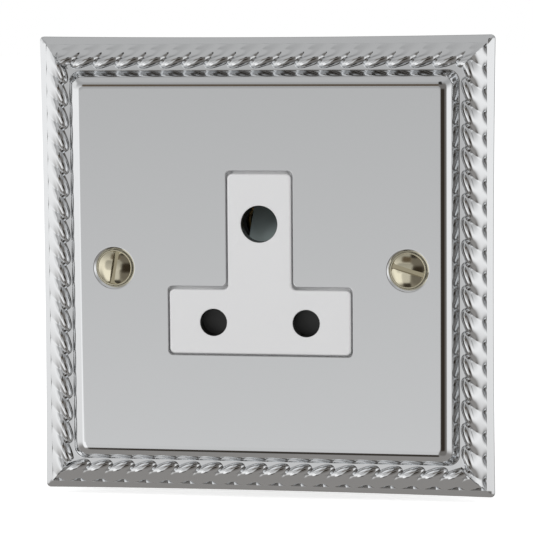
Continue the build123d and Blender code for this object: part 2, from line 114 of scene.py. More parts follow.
def new_object(name, mesh):
    piece = bpy.data.objects.new(name, mesh)
    bpy.context.collection.objects.link(piece)
    return piece


def plain_mesh(name, source):
    """Mesh from a bmesh, which is freed."""
    mesh = bpy.data.meshes.new(name)
    source.to_mesh(mesh)
    source.free()
    return mesh


def settled(piece, modifier):
    """Plain mesh of a piece with its modifier worked in; the modifier is removed."""
    bpy.context.view_layer.update()
    mesh = bpy.data.meshes.new_from_object(piece.evaluated_get(bpy.context.evaluated_depsgraph_get()))
    piece.modifiers.remove(modifier)
    return mesh


# Node helpers

def feed(tree, socket, value):
    """Links a socket to another one, or gives it a plain value."""
    if isinstance(value, bpy.types.NodeSocket):
        tree.links.new(value, socket)
    else:
        socket.default_value = value


def maths(tree, operation, *values):
    """Output of a maths node fed with numbers or sockets."""
    made = tree.nodes.new("ShaderNodeMath")
    made.operation = operation
    for socket, value in zip(made.inputs, values):
        feed(tree, socket, value)
    return made.outputs[0]


def spread(tree, value, low, high, start=0.0, end=1.0, kind="LINEAR"):
    """Value mapped from the range low to high to the range start to end, and held in it."""
    made = tree.nodes.new("ShaderNodeMapRange")
    made.interpolation_type = kind
    for label, given in (("Value", value), ("From Min", low), ("From Max", high), ("To Min", start),
                         ("To Max", end)):
        feed(tree, made.inputs[label], given)
    return made.outputs["Result"]


def shader_group(name, inputs, outputs):
    """Shader node group with these number outputs; inputs are numbers too, apart from Vector and Axis."""
    tree = bpy.data.node_groups.new(name, "ShaderNodeTree")
    for label in inputs:
        kind = "NodeSocketVector" if label in ("Vector", "Axis") else "NodeSocketFloat"
        tree.interface.new_socket(label, in_out="INPUT", socket_type=kind)
    for label in outputs:
        tree.interface.new_socket(label, in_out="OUTPUT", socket_type="NodeSocketFloat")
    return tree, tree.nodes.new("NodeGroupInput").outputs, tree.nodes.new("NodeGroupOutput").inputs


def placed(tree, group, **values):
    """Outputs of a shader group placed in a tree, with its inputs set by name."""
    made = tree.nodes.new("ShaderNodeGroup")
    made.node_tree = group
    for label, value in values.items():
        feed(tree, made.inputs[label.replace("_", " ").capitalize()], value)
    return made.outputs


def mixed(tree, share, low, high):
    """Colour between two others, each a colour or a socket."""
    made = tree.nodes.new("ShaderNodeMix")
    made.data_type = "RGBA"
    for socket, value in ((made.inputs[0], share), (made.inputs[6], low), (made.inputs[7], high)):
        feed(tree, socket, value)
    return made.outputs[2]


# Finishes

def surface_variation():
    """Slow change of polish over a surface, shared by all finishes."""
    tree, given, result = shader_group("Surface variation", ("Vector", "Scale", "Low", "High"),
                                       ("Roughness", "Height"))
    cloud = tree.nodes.new("ShaderNodeTexNoise")
    cloud.inputs["Detail"].default_value = 5.0
    cloud.inputs["Roughness"].default_value = 0.6
    feed(tree, cloud.inputs["Vector"], given["Vector"])
    feed(tree, cloud.inputs["Scale"], given["Scale"])
    feed(tree, result["Roughness"], spread(tree, cloud.outputs[0], 0.35, 0.65, given["Low"], given["High"]))
    feed(tree, result["Height"], cloud.outputs[0])
    return tree


def place_along():
    """Share of the way between two places along an axis."""
    tree, given, result = shader_group("Place along an axis", ("Vector", "Axis", "First", "Last"),
                                       ("Share",))
    measure = tree.nodes.new("ShaderNodeVectorMath")
    measure.operation = "DOT_PRODUCT"
    feed(tree, measure.inputs[0], given["Vector"])
    feed(tree, measure.inputs[1], given["Axis"])
    feed(tree, result["Share"], spread(tree, measure.outputs["Value"], given["First"], given["Last"]))
    return tree


def hole_mask():
    """Mask of the inside of a round hole along Y."""
    tree, given, result = shader_group("Hole mask", ("Vector", "Middle x", "Middle z", "Radius"), ("Mask",))
    split = tree.nodes.new("ShaderNodeSeparateXYZ")
    feed(tree, split.inputs[0], given["Vector"])
    across = maths(tree, "SUBTRACT", split.outputs[0], given["Middle x"])
    along = maths(tree, "SUBTRACT", split.outputs[2], given["Middle z"])
    squares = maths(tree, "ADD", maths(tree, "MULTIPLY", across, across),
                    maths(tree, "MULTIPLY", along, along))
    feed(tree, result["Mask"], maths(tree, "LESS_THAN", maths(tree, "SQRT", squares), given["Radius"]))
    return tree


VARIATION, PLACE_ALONG, HOLE_MASK = surface_variation(), place_along(), hole_mask()


def object_place(tree):
    return tree.nodes["Texture Coordinate"].outputs["Object"]


def finish(name, colour, metallic, rough, scale=90.0, bump=0.0):
    """A plain finish whose gloss varies a little, between the two values of rough."""
    material = bpy.data.materials.new(name)
    material.use_nodes = True
    tree = material.node_tree
    shader = tree.nodes["Principled BSDF"]
    shader.inputs["Base Color"].default_value = (*colour, 1.0)
    shader.inputs["Metallic"].default_value = metallic
    tree.nodes.new("ShaderNodeTexCoord")
    vary = placed(tree, VARIATION, vector=object_place(tree), scale=scale, low=rough[0], high=rough[1])
    feed(tree, shader.inputs["Roughness"], vary["Roughness"])
    if bump:
        raised = tree.nodes.new("ShaderNodeBump")
        raised.inputs["Strength"].default_value = bump
        raised.inputs["Distance"].default_value = 0.0001
        feed(tree, raised.inputs["Height"], vary["Height"])
        feed(tree, shader.inputs["Normal"], raised.outputs["Normal"])
    return material


def graded(material, axis, stops):
    """Paints light and shade into a finish along an axis of the object; each stop is a place in millimetres
    and a colour.
    """
    tree = material.node_tree
    first, last = stops[0][0], stops[-1][0]
    share = placed(tree, PLACE_ALONG, vector=object_place(tree), axis=axis, first=first * MM,
                   last=last * MM)
    ramp = tree.nodes.new("ShaderNodeValToRGB")
    points = ramp.color_ramp.elements
    for place, colour in stops[1:-1]:
        points.new((place - first) / (last - first))
    for point, (place, colour) in zip(points, stops):
        point.color = (*colour, 1.0)
    feed(tree, ramp.inputs["Fac"], share["Share"])
    feed(tree, tree.nodes["Principled BSDF"].inputs["Base Color"], ramp.outputs["Color"])


def paint_shade_in_holes(material, holes, dark):
    """Paints shade into a finish inside round holes along Y."""
    tree = material.node_tree
    inside = 0.0
    for x, z, radius in holes:
        mask = placed(tree, HOLE_MASK, vector=object_place(tree), middle_x=x * MM, middle_z=z * MM,
                      radius=radius * MM)
        inside = maths(tree, "MAXIMUM", inside, mask["Mask"])
    base = tree.nodes["Principled BSDF"].inputs["Base Color"]
    feed(tree, base, mixed(tree, inside, base.default_value, (dark, dark, dark, 1.0)))


# Shutter colours: painted shade for its blades and painted light for its ramp, on one dark grey moulding
SHUTTER_PAINTED_SHADE, SHUTTER_PAINTED_LIGHT = (0.022, 0.022, 0.022), (0.36, 0.425, 0.42)
# The screws' own nickel, and a darker olive nickel painted as shade in the slots and on the cones below
# them
HEAD_NICKEL, SLOT_PAINTED_SHADE = (0.75, 0.70, 0.54), (0.48, 0.43, 0.30)
INNER_WHITE = (0.64, 0.64, 0.61)

CHROME = finish("polished chrome", (0.80, 0.81, 0.82), 1.0, (0.06, 0.085))
WHITE = finish("white moulding", (0.62, 0.62, 0.625), 0.0, (0.25, 0.27), 260.0)
GREY = finish("dark grey shutter", SHUTTER_PAINTED_SHADE, 0.0, (0.38, 0.5), 300.0, 0.1)
INNER = finish("pale inner moulding", INNER_WHITE, 0.0, (0.45, 0.55), 260.0, 0.1)
RETAINER = finish("inner moulding with painted shade round its hole", INNER_WHITE, 0.0, (0.45, 0.55), 260.0, 0.1)
BRASS = finish("contact brass", (0.70, 0.50, 0.22), 1.0, (0.22, 0.34), 240.0)
TERMINAL = finish("terminal brass", (0.74, 0.55, 0.26), 1.0, (0.16, 0.28), 240.0)
SPRING = finish("spring steel", (0.50, 0.51, 0.53), 1.0, (0.2, 0.3), 300.0)
PLATED = finish("plated steel", (0.62, 0.63, 0.64), 1.0, (0.22, 0.36), 240.0)
NICKEL = finish("warm nickel", HEAD_NICKEL, 1.0, (0.1, 0.15), 200.0)

# Painted light and shade: shutter lighter on its ramp, darker below; shade in screw slots, front and
# retainer holes
graded(GREY, (0.0, 0.0, 1.0), ((-4.0, SHUTTER_PAINTED_SHADE), (3.0, SHUTTER_PAINTED_LIGHT)))
graded(NICKEL, (0.0, 1.0, 0.0), ((-7.2, HEAD_NICKEL), (-7.03, SLOT_PAINTED_SHADE), (-6.0, SLOT_PAINTED_SHADE),
                                 (-5.0, HEAD_NICKEL)))
paint_shade_in_holes(WHITE, PIN_HOLES, 0.03)
paint_shade_in_holes(RETAINER, (RETAINER_HOLE,), 0.02)


# Polished plate

def ring(inset, radius, out, bow=0.0):
    """Rounded square at an inset from the outer edge, clockwise from the left end of the top side."""
    points = []
    reach = HALF - inset
    straight = reach - radius
    middle = straight - bow * (1 - (straight / reach) ** 2)
    for side in range(4):
        turn = -side * math.pi / 2
        local = []
        for along in ALONG:
            local.append((along * straight, reach - bow * (1 - (along * straight / reach) ** 2)))
        for step in range(CORNER_STEPS):
            bend = math.pi / 2 * (1 - step / CORNER_STEPS)
            local.append((middle + radius * math.cos(bend), middle + radius * math.sin(bend)))
        points += [(x * math.cos(turn) - y * math.sin(turn), x * math.sin(turn) + y * math.cos(turn), out)
                   for x, y in local]
    return points


def bends(turn, steps):
    """Angles along a rounded edge, from nothing to its full turn."""
    return [turn * step / steps for step in range(steps + 1)]


def circle(x, radius, out, steps=64):
    turns = [2 * math.pi * step / steps for step in range(steps)]
    return [(x + radius * math.cos(turn), radius * math.sin(turn), out) for turn in turns]


def tee(grow, out, steps=6):
    """Outline of the T-shaped cut-out, grown on all sides."""
    side_gap, top_gap = CUT_GAP + grow, CUT_TOP_GAP + grow
    stem, base = STEM_HALF + side_gap, BASE_HALF + side_gap
    bottom, shoulder, top = BOSS_BOTTOM - side_gap, BOSS_SHOULDER + top_gap, BOSS_TOP + top_gap
    corners = [(-base, bottom), (base, bottom), (base, shoulder), (stem, shoulder), (stem, top),
               (-stem, top), (-stem, shoulder), (-base, shoulder)]
    points = []
    for k, (x, y) in enumerate(corners):
        before = Vector(corners[k - 1]) - Vector((x, y))
        after = Vector(corners[(k + 1) % 8]) - Vector((x, y))
        before.normalize()
        after.normalize()
        centre = Vector((x, y)) + (before + after) * CUT_CORNER_R
        for bend in bends(math.pi / 2, steps):
            point = centre - after * CUT_CORNER_R * math.cos(bend) - before * CUT_CORNER_R * math.sin(bend)
            points.append((point.x, point.y, out))
    return points


class Shell:
    """Mesh that grows loop by loop."""

    def __init__(self):
        self.grown = bmesh.new()

    def loop(self, points):
        return [self.grown.verts.new(at(*point)) for point in points]

    def bridge(self, outer, inner):
        for k in range(len(outer)):
            after = (k + 1) % len(outer)
            self.grown.faces.new((outer[k], outer[after], inner[after], inner[k]))

    def run(self, loops):
        rows = [self.loop(points) for points in loops]
        for outer, inner in zip(rows, rows[1:]):
            self.bridge(outer, inner)
        return rows[0], rows[-1]

    def fill(self, *loops):
        edges = []
        for row in loops:
            for k in range(len(row)):
                pair = (row[k], row[(k + 1) % len(row)])
                edges.append(self.grown.edges.get(pair) or self.grown.edges.new(pair))
        bmesh.ops.triangle_fill(self.grown, use_beauty=True, use_dissolve=False, edges=edges)

    def mesh(self, name):
        """Plain mesh with its doubles merged and its faces outwards."""
        bmesh.ops.remove_doubles(self.grown, verts=self.grown.verts, dist=WELD * MM)
        bmesh.ops.recalc_face_normals(self.grown, faces=self.grown.faces)
        return plain_mesh(name, self.grown)


def slope_in(depth, out):
    """Inset of a line parallel to the rope's outer slope and below it by depth."""
    return LIP_WIDTH + depth / math.sin(ROPE_SLOPE) + (out - LIP_HEIGHT) / math.tan(ROPE_SLOPE)


def front_profile():
    """Inset, corner radius, height and bow of each line of the plate's front, from edge to panel."""
    slope = (LIP_HEIGHT - LIP_EDGE) / LIP_WIDTH
    turn = math.pi / 2 - math.atan(slope)
    low = LIP_EDGE - LIP_EDGE_R * math.tan(turn / 2)
    rows = [(0.0, PLATE_CORNER_R, 0.0, EDGE_BOW)]
    for bend in bends(turn, 5):
        inset = LIP_EDGE_R * (1 - math.cos(bend))
        rows.append((inset, PLATE_CORNER_R - inset, low + LIP_EDGE_R * math.sin(bend), EDGE_BOW))
    for share in (0.35, 0.65, 1.0):
        inset = LIP_WIDTH * share
        rows.append((inset, max(PLATE_CORNER_R - inset, 0.0), LIP_EDGE + (LIP_HEIGHT - LIP_EDGE) * share,
                     EDGE_BOW * (1 - share)))
    for out in (LIP_HEIGHT - PIT_DEPTH, GROOVE_Z):
        rows.append((slope_in(PIT_FLOOR, out), 0.0, out, 0.0))
    rows.append((ROPE_IN, 0.0, GROOVE_Z, 0.0))

    def corner_r(inset, out):
        share = (out - GROOVE_Z) / SHOULDER_RISE
        nominal = GROOVE_IN + SHOULDER_RUN * share
        return GROOVE_CORNER_R + (PANEL_CORNER_R - GROOVE_CORNER_R) * share + nominal - inset

    rise = math.atan2(SHOULDER_RISE, SHOULDER_RUN)
    foot = GROOVE_IN - GROOVE_FILLET_R * math.tan(rise / 2)
    for bend in bends(rise, 8):
        inset = foot + GROOVE_FILLET_R * math.sin(bend)
        out = GROOVE_Z + GROOVE_FILLET_R * (1 - math.cos(bend))
        rows.append((inset, corner_r(inset, out), out, 0.0))
    crown = PANEL_IN + PANEL_EDGE_R * math.tan(rise / 2)
    for bend in reversed(bends(rise, 16)):
        inset = crown - PANEL_EDGE_R * math.sin(bend)
        out = PANEL_Z - PANEL_EDGE_R * (1 - math.cos(bend))
        rows.append((inset, corner_r(inset, out), out, 0.0))
    crown += PANEL_MARGIN
    rows.append((crown, corner_r(crown, PANEL_Z), PANEL_Z, 0.0))
    return rows


def back_profile():
    """The same for the plate's back."""
    rows = [(0.0, PLATE_CORNER_R, 0.0, EDGE_BOW)]
    for out in (0.0, GROOVE_Z - SHEET):
        rows.append((slope_in(PIT_FLOOR + SHEET, out), 0.0, out, 0.0))
    slope = SHOULDER_RUN / SHOULDER_RISE
    inset = SHEET * math.hypot(1, slope)
    for out in (GROOVE_Z - SHEET, PANEL_BACK):
        share = (out - GROOVE_Z) / SHOULDER_RISE
        radius = GROOVE_CORNER_R + (PANEL_CORNER_R - GROOVE_CORNER_R) * share
        rows.append((GROOVE_IN + slope * (out - GROOVE_Z) + inset, radius, out, 0.0))
    return rows


def dimple(x):
    """Rings of a countersunk dimple with a rounded edge, from the panel's front to its back."""
    rings = [circle(x, DIMPLE_R + DIMPLE_EDGE_R + DIMPLE_MARGIN, PANEL_Z)]
    outer = DIMPLE_R + DIMPLE_EDGE_R * math.tan(math.pi / 8)
    for bend in bends(math.pi / 4, 6):
        rings.append(circle(x, outer - DIMPLE_EDGE_R * math.sin(bend),
                            PANEL_Z - DIMPLE_EDGE_R * (1 - math.cos(bend))))
    rings.append(circle(x, DIMPLE_HOLE_R, PANEL_Z - DIMPLE_R + DIMPLE_HOLE_R))
    rings.append(circle(x, DIMPLE_HOLE_R, DIMPLE_END))
    rings.append(circle(x, DIMPLE_BUMP_R, DIMPLE_END))
    rings.append(circle(x, DIMPLE_BUMP_R + PANEL_BACK - DIMPLE_END, PANEL_BACK))
    return rings


def pressed_sheet():
    """Lip, pit floor, groove, shoulder and panel, with the T-shaped cut-out and the two screw dimples."""
    shell = Shell()
    panel_edge = shell.run([ring(*row) for row in front_profile()])[1]
    back_edge = shell.run([ring(*row) for row in back_profile()])[1]
    cut = [tee(CUT_EDGE_R + CUT_MARGIN, PANEL_Z)]
    for bend in bends(math.pi / 2, 4):
        cut.append(tee(CUT_EDGE_R * (1 - math.sin(bend)), PANEL_Z - CUT_EDGE_R * (1 - math.cos(bend))))
    cut.append(tee(0.0, PANEL_BACK))
    fronts, backs = zip(shell.run(cut), shell.run(dimple(-FIXING_X)), shell.run(dimple(FIXING_X)))
    shell.fill(panel_edge, *fronts)
    shell.fill(back_edge, *backs)
    return shell.mesh("pressed sheet")


def head_ring(x, steps=12):
    """Round ring on the rim of a screw's head."""
    shell = Shell()
    turns = [2 * math.pi * step / steps for step in range(steps)]
    rows = [shell.loop(circle(x, HEAD_RING_R + HEAD_RING_WIRE * math.cos(turn),
                              HEAD_RING_OUT + HEAD_RING_WIRE * math.sin(turn))) for turn in turns]
    for k in range(steps):
        shell.bridge(rows[k], rows[(k + 1) % steps])
    return shell.mesh("head ring")


# Geometry Nodes

class Tree:
    """Geometry Nodes tree with named number inputs."""

    def __init__(self, name, inputs):
        self.tree = bpy.data.node_groups.new(name, "GeometryNodeTree")
        self.keys = {}
        for label in inputs:
            socket = self.tree.interface.new_socket(label, in_out="INPUT", socket_type="NodeSocketFloat")
            self.keys[label] = socket.identifier
        self.tree.interface.new_socket("Geometry", in_out="OUTPUT", socket_type="NodeSocketGeometry")
        self.entry = self.node("NodeGroupInput")
        self.leave = self.node("NodeGroupOutput")

    def node(self, kind, **settings):
        made = self.tree.nodes.new(kind)
        for key, value in settings.items():
            setattr(made, key, value)
        return made

    def feed(self, socket, value):
        feed(self.tree, socket, value)

    def given(self, label):
        return self.entry.outputs[label]

    def sum(self, operation, *values):
        return maths(self.tree, operation, *values)

    def end(self, geometry, material):
        real = self.node("GeometryNodeRealizeInstances")
        paint = self.node("GeometryNodeSetMaterial")
        paint.inputs["Material"].default_value = material
        self.feed(real.inputs["Geometry"], geometry)
        self.feed(paint.inputs["Geometry"], real.outputs["Geometry"])
        self.feed(self.leave.inputs["Geometry"], paint.outputs["Geometry"])

    def mesh(self, name, **sizes):
        """Plain mesh of the tree with these sizes."""
        piece = new_object(name, bpy.data.meshes.new(name))
        grown = piece.modifiers.new(name, "NODES")
        grown.node_group = self.tree
        for label, value in sizes.items():
            grown[self.keys[label.replace("_", " ")]] = float(value)
        mesh = settled(piece, grown)
        bpy.data.objects.remove(piece)
        return mesh


def rope_tree(material):
    """One side of the rope border: leaning strands over a bead and down its slope, mitred at both ends."""
    t = Tree("Rope border", ("edge", "bead radius", "pitch", "strands", "lean", "crease", "shift", "base",
                             "turn", "slope", "slope length", "slope crease", "pit crease", "pit back"))
    samples, spare, lines = 16, 6, 41

    # Share of the lines on the bead, and shares of the slope where the crease ends and the pit starts
    bead_share, crease_end, pit_start = 0.75, 0.35, 0.6
    grid = t.node("GeometryNodeMeshGrid")
    for socket, value in zip(grid.inputs, (1.0, 1.0, (STRANDS + spare) * samples + 1, lines)):
        socket.default_value = value
    place = t.node("GeometryNodeInputPosition")
    split = t.node("ShaderNodeSeparateXYZ")
    t.feed(split.inputs[0], place.outputs[0])
    radius, slope, slope_length = t.given("bead radius"), t.given("slope"), t.given("slope length")

    # Way over the bead and down the slope
    line = t.sum("ADD", split.outputs[1], 0.5)
    arc = t.sum("MULTIPLY", radius, t.sum("ADD", slope, math.pi / 2))
    over_bead = t.sum("MINIMUM", t.sum("DIVIDE", line, bead_share), 1.0)
    past_bead = t.sum("DIVIDE", t.sum("SUBTRACT", line, bead_share), 1.0 - bead_share)
    run = t.sum("ADD", t.sum("MULTIPLY", arc, over_bead),
                t.sum("MULTIPLY", slope_length, t.sum("MAXIMUM", past_bead, 0.0)))
    bend = t.sum("MINIMUM", t.sum("SUBTRACT", t.sum("DIVIDE", run, radius), math.pi / 2), slope)
    down = t.sum("MAXIMUM", t.sum("SUBTRACT", run, arc), 0.0)
    share = t.sum("DIVIDE", down, slope_length)

    # Depth of the crease: deep on the bead, shallow on the slope, and a pit at the lip
    row = t.sum("MULTIPLY", split.outputs[0], t.sum("ADD", t.given("strands"), float(spare)))
    shallow = t.given("slope crease")
    from_bead = t.sum("MAXIMUM", t.sum("SUBTRACT", 1.0, t.sum("DIVIDE", share, crease_end)), 0.0)
    to_pit = t.sum("MAXIMUM", t.sum("DIVIDE", t.sum("SUBTRACT", share, pit_start), 1.0 - pit_start), 0.0)
    deeper = t.sum("ADD", t.sum("MULTIPLY", from_bead, t.sum("SUBTRACT", t.given("crease"), shallow)),
                   t.sum("MULTIPLY", to_pit, t.sum("SUBTRACT", t.given("pit crease"), shallow)))
    offset = t.sum("MULTIPLY", t.sum("ABSOLUTE", t.sum("SUBTRACT", row, t.sum("ROUND", row))), 2.0)
    dip = t.sum("MULTIPLY", t.sum("ADD", shallow, deeper), t.sum("POWER", offset, 2.0))

    # Place of each point, held between the mitres
    out_of_bead = t.sum("SUBTRACT", radius, dip)
    across = t.sum("ADD", t.sum("MULTIPLY", t.sum("SINE", bend), out_of_bead),
                   t.sum("MULTIPLY", t.sum("COSINE", slope), down))
    height = t.sum("SUBTRACT", t.sum("MULTIPLY", t.sum("COSINE", bend), out_of_bead),
                   t.sum("MULTIPLY", t.sum("SINE", slope), down))
    start = t.sum("SUBTRACT", t.given("shift"), t.sum("MULTIPLY", share, t.given("pit back")))
    reach = t.sum("ADD", t.sum("ADD", t.sum("MULTIPLY", row, t.given("pitch")), start),
                  t.sum("DIVIDE", across, t.sum("TANGENT", t.given("lean"))))
    limit = t.sum("ADD", t.given("edge"), across)
    held = t.sum("MINIMUM", t.sum("MAXIMUM", reach, t.sum("MULTIPLY", limit, -1.0)), limit)
    join = t.node("ShaderNodeCombineXYZ")
    t.feed(join.inputs[0], held)
    t.feed(join.inputs[1], t.sum("MULTIPLY", t.sum("ADD", t.given("base"), height), -1.0))
    t.feed(join.inputs[2], limit)
    swing = t.node("ShaderNodeVectorRotate", rotation_type="Y_AXIS")
    t.feed(swing.inputs["Vector"], join.outputs[0])
    t.feed(swing.inputs["Angle"], t.given("turn"))
    lay = t.node("GeometryNodeSetPosition")
    t.feed(lay.inputs["Geometry"], grid.outputs["Mesh"])
    t.feed(lay.inputs["Position"], swing.outputs[0])
    weld = t.node("GeometryNodeMergeByDistance")
    t.feed(weld.inputs["Geometry"], lay.outputs["Geometry"])
    t.feed(weld.inputs["Distance"], WELD * MM)
    t.end(weld.outputs["Geometry"], material)
    return t


def coil_tree(name, material, profile_steps, core):
    """Wire wound round the Z axis, round a plain core if it has one: a spring or a screw's thread."""
    t = Tree(name, ("radius", "wire", "turns", "length"))
    path = t.node("GeometryNodeCurveSpiral")
    path.inputs["Resolution"].default_value = 28
    wound = t.sum("SUBTRACT", t.given("radius"), t.given("wire"))
    for label in ("Start Radius", "End Radius"):
        t.feed(path.inputs[label], wound)
    t.feed(path.inputs["Rotations"], t.given("turns"))
    t.feed(path.inputs["Height"], t.given("length"))
    section = t.node("GeometryNodeCurvePrimitiveCircle")
    section.inputs["Resolution"].default_value = profile_steps
    t.feed(section.inputs["Radius"], t.given("wire"))
    wire = t.node("GeometryNodeCurveToMesh")
    wire.inputs["Fill Caps"].default_value = True
    t.feed(wire.inputs["Curve"], path.outputs["Curve"])
    t.feed(wire.inputs["Profile Curve"], section.outputs["Curve"])
    made = wire.outputs["Mesh"]
    if core:
        rod = t.node("GeometryNodeMeshCylinder")
        rod.inputs["Vertices"].default_value = 32
        t.feed(rod.inputs["Radius"], wound)
        t.feed(rod.inputs["Depth"], t.given("length"))
        lift = t.node("GeometryNodeTransform")
        t.feed(lift.inputs["Geometry"], rod.outputs["Mesh"])
        shift = t.node("ShaderNodeCombineXYZ")
        t.feed(shift.inputs[2], t.sum("MULTIPLY", t.given("length"), 0.5))
        t.feed(lift.inputs["Translation"], shift.outputs[0])
        both = t.node("GeometryNodeJoinGeometry")
        t.feed(both.inputs[0], wire.outputs["Mesh"])
        t.feed(both.inputs[0], lift.outputs["Geometry"])
        made = both.outputs[0]
    t.end(made, material)
    return t


# Dressing the pieces

def joined(name, meshes):
    """One mesh from several, with their places kept."""
    whole = bmesh.new()
    for mesh in meshes:
        whole.from_mesh(mesh)
    return plain_mesh(name, whole)


def shade(piece, sharp, even):
    """Smooth faces with crisp edges past sharp degrees and, where even, flat faces kept flat."""
    for face in piece.data.polygons:
        face.use_smooth = True
    piece.data.set_sharp_from_angle(angle=math.radians(sharp))
    if not even:
        return
    weigh = piece.modifiers.new("even normals", "WEIGHTED_NORMAL")
    weigh.keep_sharp = True
    weigh.weight = 100
    piece.data = settled(piece, weigh)


def wear(piece, material, node, sharp, even=True):
    """Finishes a piece and sets it in the place of a CAD node."""
    piece.data.materials.clear()
    piece.data.materials.append(material)
    for face in piece.data.polygons:
        face.material_index = 0
    shade(piece, sharp, even)
    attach(piece, "shutter" if node == "shutter" else "socket")
    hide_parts(node)


def solid_copy(node, keep=None):
    """Welded copy of a CAD node's mesh; keep says which vertices stay."""
    source = bmesh.new()
    source.from_mesh(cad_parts[node].data)
    bmesh.ops.remove_doubles(source, verts=source.verts, dist=WELD * MM)
    if keep:
        gone = [vert for vert in source.verts if not keep(vert.co)]
        bmesh.ops.delete(source, geom=gone, context="VERTS")
    return plain_mesh(node, source)


rope = rope_tree(CHROME)
rope_half = HALF - ROPE_IN
rope_sides = [rope.mesh("rope", edge=rope_half * MM, bead_radius=ROPE_R * MM,
                        pitch=2 * rope_half / STRANDS * MM, strands=STRANDS, lean=STRAND_LEAN,
                        crease=STRAND_CREASE * MM, shift=shift * MM, base=GROOVE_Z * MM,
                        turn=math.pi / 2 * side, slope=ROPE_SLOPE,
                        slope_crease=SLOPE_CREASE * MM, pit_crease=pit * MM, pit_back=PIT_BACK * MM,
                        slope_length=(ROPE_FALL + PIT_DEPTH) / math.sin(ROPE_SLOPE) * MM)
              for side, (shift, pit) in enumerate(zip(STRAND_SHIFT, PIT_CREASE))]
plate = new_object("chrome_plate", joined("chrome_plate", [pressed_sheet()] + rope_sides))
wear(plate, CHROME, "face_plate", sharp=38, even=False)

thread = coil_tree("Screw thread", NICKEL, profile_steps=4, core=True)
thread_length = THREAD_TOP - THREAD_END
fixing_meshes = [solid_copy("fixing_screws", lambda point: point.y < -SHANK_CUT * MM)]
for x in (-FIXING_X, FIXING_X):
    turned = thread.mesh("fixing thread", radius=FIXING_R * MM, wire=THREAD_R * MM,
                         turns=thread_length / THREAD_PITCH, length=thread_length * MM)
    turned.transform(Matrix.Translation(at(x, 0, THREAD_TOP)) @ Matrix.Rotation(-math.pi / 2, 4, "X"))
    fixing_meshes += [turned, head_ring(x)]
fixing = new_object("slotted_fixing_screws", joined("slotted_fixing_screws", fixing_meshes))
wear(fixing, NICKEL, "fixing_screws", sharp=32)

coil = coil_tree("Coil spring", SPRING, profile_steps=8, core=False)
spring_low, spring_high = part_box("shutter_spring")
spring_mesh = coil.mesh("shutter spring", radius=SPRING_R * MM, wire=SPRING_WIRE * MM, turns=SPRING_TURNS,
                        length=spring_high[2] - spring_low[2] - 2 * SPRING_WIRE * MM)
spring_foot = Vector(((spring_low[0] + spring_high[0]) / 2, (spring_low[1] + spring_high[1]) / 2,
                      spring_low[2] + SPRING_WIRE * MM))
spring_mesh.transform(Matrix.Translation(spring_foot))
spring = new_object("sprung_coil", spring_mesh)
wear(spring, SPRING, "shutter_spring", sharp=60)
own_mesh(spring)

for material, slot, nodes in (
        (WHITE, "white_front", ("socket_front",)),
        (GREY, "grey_shutter", ("shutter",)),
        (RETAINER, "white_inner", ("shutter_retainer",)),
        (INNER, "white_inner", ("socket_base",)),
        (BRASS, "contact_brass", ("line_contact", "neutral_contact", "earth_contact", "earth_strap",
                                  "contact_rivets")),
        (TERMINAL, "terminal_brass", ("line_terminal", "neutral_terminal", "earth_terminal",
                                      "terminal_screws")),
        (SPRING, "spring_steel", ("pin_contact_clips", "earth_contact_clip")),
        (PLATED, "plated_steel", ("base_screws", "plate_studs", "stud_washers", "stud_nuts"))):
    for node in nodes:
        wear(new_object("finished_" + node, solid_copy(node)), material, node, sharp=30)


# Studio

def soft_patch():
    """Mask of an oval part of the tent with a soft edge, its place and size given in degrees."""
    tree, given, result = shader_group("Soft patch", ("Yaw", "Pitch", "Middle yaw", "Middle pitch",
                                                      "Half width", "Half height", "Softness"), ("Mask",))
    across = maths(tree, "DIVIDE", maths(tree, "SUBTRACT", given["Yaw"], given["Middle yaw"]),
                   given["Half width"])
    along = maths(tree, "DIVIDE", maths(tree, "SUBTRACT", given["Pitch"], given["Middle pitch"]),
                  given["Half height"])
    power = maths(tree, "ADD", maths(tree, "POWER", maths(tree, "ABSOLUTE", across), 4.0),
                  maths(tree, "POWER", maths(tree, "ABSOLUTE", along), 4.0))
    edge = spread(tree, maths(tree, "POWER", power, 0.25), maths(tree, "SUBTRACT", 1.0, given["Softness"]),
                  maths(tree, "ADD", 1.0, given["Softness"]), 1.0, 0.0, "SMOOTHSTEP")
    feed(tree, result["Mask"], edge)
    return tree


# Patches of the tent cloth, a later one over the earlier ones: middle yaw and pitch from straight in
# front, half width and half height, all in degrees, and softness; grey at the low and high end; warmth
PATCHES = (
    ((0, 80, 400, 62, 0.3), 0.42, 0.42, 0.0),
    ((0, 78, 400, 26, 0.3), 0.52, 0.52, 0.0),
    ((-95, 22, 26, 14, 0.4), 0.85, 0.85, 0.0),
    ((0, -80, 400, 62, 0.3), 0.28, 0.28, 0.04),
    ((154, -5, 44, 40, 0.25), 0.18, 0.18, 0.0),
    ((-165, 42, 40, 38, 0.2), 0.05, 0.5, 0.0),
    ((30, -4, 28, 44, 0.2), 0.17, 0.17, 0.06),
    ((-36, -22, 14, 20, 0.3), 1.1, 1.1, 0.0),
    ((-12, -26, 13, 15, 0.2), 0.66, 0.66, 0.0),
    ((-15, 2, 26, 14, 0.12), 0.69, 0.36, 0.0),
    ((-10, 27, 16, 9, 0.35), 0.1, 0.1, 0.25),
    ((15, 43, 13, 12, 0.3), 0.03, 0.03, 0.1),
    ((-12, -51, 16, 9, 0.3), 0.04, 0.04, 0.15),
    ((24, -6, 17, 14, 0.35), 0.03, 0.03, 0.25),
)


def cloth_grey(value, warm):
    return (value * (1 + warm), value, value * (1 - warm), 1.0)


